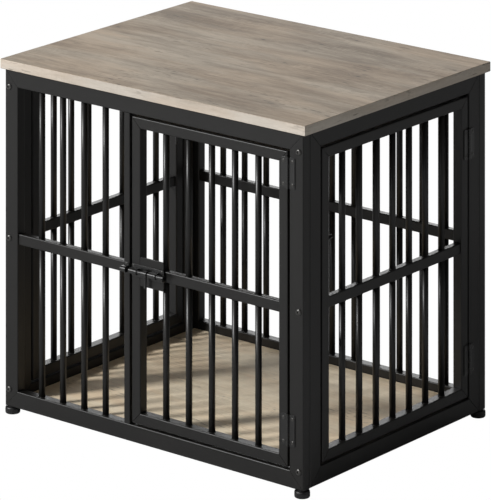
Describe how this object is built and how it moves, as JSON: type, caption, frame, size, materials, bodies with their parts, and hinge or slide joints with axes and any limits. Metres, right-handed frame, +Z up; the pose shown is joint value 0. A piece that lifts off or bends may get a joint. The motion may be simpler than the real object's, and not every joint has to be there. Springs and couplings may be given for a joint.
{
  "type": "dog crate",
  "caption": "Furniture-style dog crate: tube-steel frame with round bars, a wood-grain table top and floor board, a hinged door on the front and on each side, slide latches and levelling feet.",
  "frame": {"origin": "on the floor under the middle of the steel frame", "axes": "+X to the right as seen from the front, -Y out of the front, +Z up"},
  "size_m": [0.72, 0.565, 0.657],
  "materials": {
    "frame_steel": "satin charcoal powder coat",
    "black_hardware": "semi-gloss black",
    "zinc_hardware": "zinc plated",
    "table_top": "matte greige wood grain",
    "floor_board": "matte light wood grain",
    "feet": "black, moulded"
  },
  "bodies": {
    "crate": {"front_posts": "frame_steel", "front_rails": "frame_steel", "front_mullion": "frame_steel", "front_mid_rail": "frame_steel", "front_bars": "frame_steel", "back_posts": "frame_steel", "back_rails": "frame_steel", "back_mid_rail": "frame_steel", "back_bars": "frame_steel", "right_posts": "frame_steel", "right_rails": "frame_steel", "left_posts": "frame_steel", "left_rails": "frame_steel", "table_top": "table_top", "floor_board": "floor_board", "floor_ledges": "frame_steel", "top_tabs": "frame_steel", "top_screws": "zinc_hardware", "corner_bolts": "black_hardware", "rivet_nuts": "zinc_hardware", "foot_nuts": "zinc_hardware", "hinge_post_leaves": "black_hardware", "hinge_pins": "black_hardware", "hinge_post_screws": "black_hardware", "front_keeper": "black_hardware", "side_keepers": "black_hardware", "keeper_screws": "black_hardware"},
    "front_door": {"front_door_stiles": "frame_steel", "front_door_rails": "frame_steel", "front_door_mid_rail": "frame_steel", "front_door_bars": "frame_steel", "front_latch_plate": "frame_steel", "front_hinge_door_leaves": "black_hardware", "front_latch_base": "black_hardware", "front_door_screws": "black_hardware"},
    "front_latch_rod_body": {"front_latch_rod": "black_hardware"},
    "front_latch_handle_body": {"front_latch_handle": "black_hardware"},
    "right_door": {"right_door_stiles": "frame_steel", "right_door_rails": "frame_steel", "right_door_mid_rail": "frame_steel", "right_door_bars": "frame_steel", "right_hinge_door_leaves": "black_hardware", "right_latch_base": "black_hardware", "right_door_screws": "black_hardware"},
    "right_latch_rod_body": {"right_latch_rod": "black_hardware"},
    "right_latch_handle_body": {"right_latch_handle": "black_hardware"},
    "left_door": {"left_door_stiles": "frame_steel", "left_door_rails": "frame_steel", "left_door_mid_rail": "frame_steel", "left_door_bars": "frame_steel", "left_hinge_door_leaves": "black_hardware", "left_latch_base": "black_hardware", "left_door_screws": "black_hardware"},
    "left_latch_rod_body": {"left_latch_rod": "black_hardware"},
    "left_latch_handle_body": {"left_latch_handle": "black_hardware"},
    "front_left_foot": {"foot_front_left": "feet"},
    "front_right_foot": {"foot_front_right": "feet"},
    "back_left_foot": {"foot_back_left": "feet"},
    "back_right_foot": {"foot_back_right": "feet"}
  },
  "joints": [
    {"name": "front_door_hinge", "type": "hinge", "parent": "crate", "child": "front_door", "pos_m": [0.319, -0.2755, 0.3265], "axis": [0, 0, 1], "range_deg": [0, 175]},
    {"name": "front_latch_slide", "type": "slide", "parent": "front_door", "child": "front_latch_rod_body", "axis": [-1, 0, 0], "range_m": [0, 0.012]},
    {"name": "front_latch_turn", "type": "hinge", "parent": "front_latch_rod_body", "child": "front_latch_handle_body", "pos_m": [-0.004, -0.281, 0.327], "axis": [-1, 0, 0], "range_deg": [0, 90]},
    {"name": "right_door_hinge", "type": "hinge", "parent": "crate", "child": "right_door", "pos_m": [0.3545, 0.22, 0.3265], "axis": [0, 0, 1], "range_deg": [0, 175]},
    {"name": "right_latch_slide", "type": "slide", "parent": "right_door", "child": "right_latch_rod_body", "axis": [0, -1, 0], "range_m": [0, 0.012]},
    {"name": "right_latch_turn", "type": "hinge", "parent": "right_latch_rod_body", "child": "right_latch_handle_body", "pos_m": [0.324, -0.1895, 0.429], "axis": [0, 1, 0], "range_deg": [0, 90]},
    {"name": "left_door_hinge", "type": "hinge", "parent": "crate", "child": "left_door", "pos_m": [-0.3545, -0.22, 0.3265], "axis": [0, 0, 1], "range_deg": [0, 175]},
    {"name": "left_latch_slide", "type": "slide", "parent": "left_door", "child": "left_latch_rod_body", "axis": [0, 1, 0], "range_m": [0, 0.012]},
    {"name": "left_latch_turn", "type": "hinge", "parent": "left_latch_rod_body", "child": "left_latch_handle_body", "pos_m": [-0.324, 0.1895, 0.429], "axis": [0, -1, 0], "range_deg": [0, 90]},
    {"name": "front_left_foot_height", "type": "slide", "parent": "crate", "child": "front_left_foot", "axis": [0, 0, -1], "range_m": [0, 0.008]},
    {"name": "front_right_foot_height", "type": "slide", "parent": "crate", "child": "front_right_foot", "axis": [0, 0, -1], "range_m": [0, 0.008]},
    {"name": "back_left_foot_height", "type": "slide", "parent": "crate", "child": "back_left_foot", "axis": [0, 0, -1], "range_m": [0, 0.008]},
    {"name": "back_right_foot_height", "type": "slide", "parent": "crate", "child": "back_right_foot", "axis": [0, 0, -1], "range_m": [0, 0.008]}
  ]
}
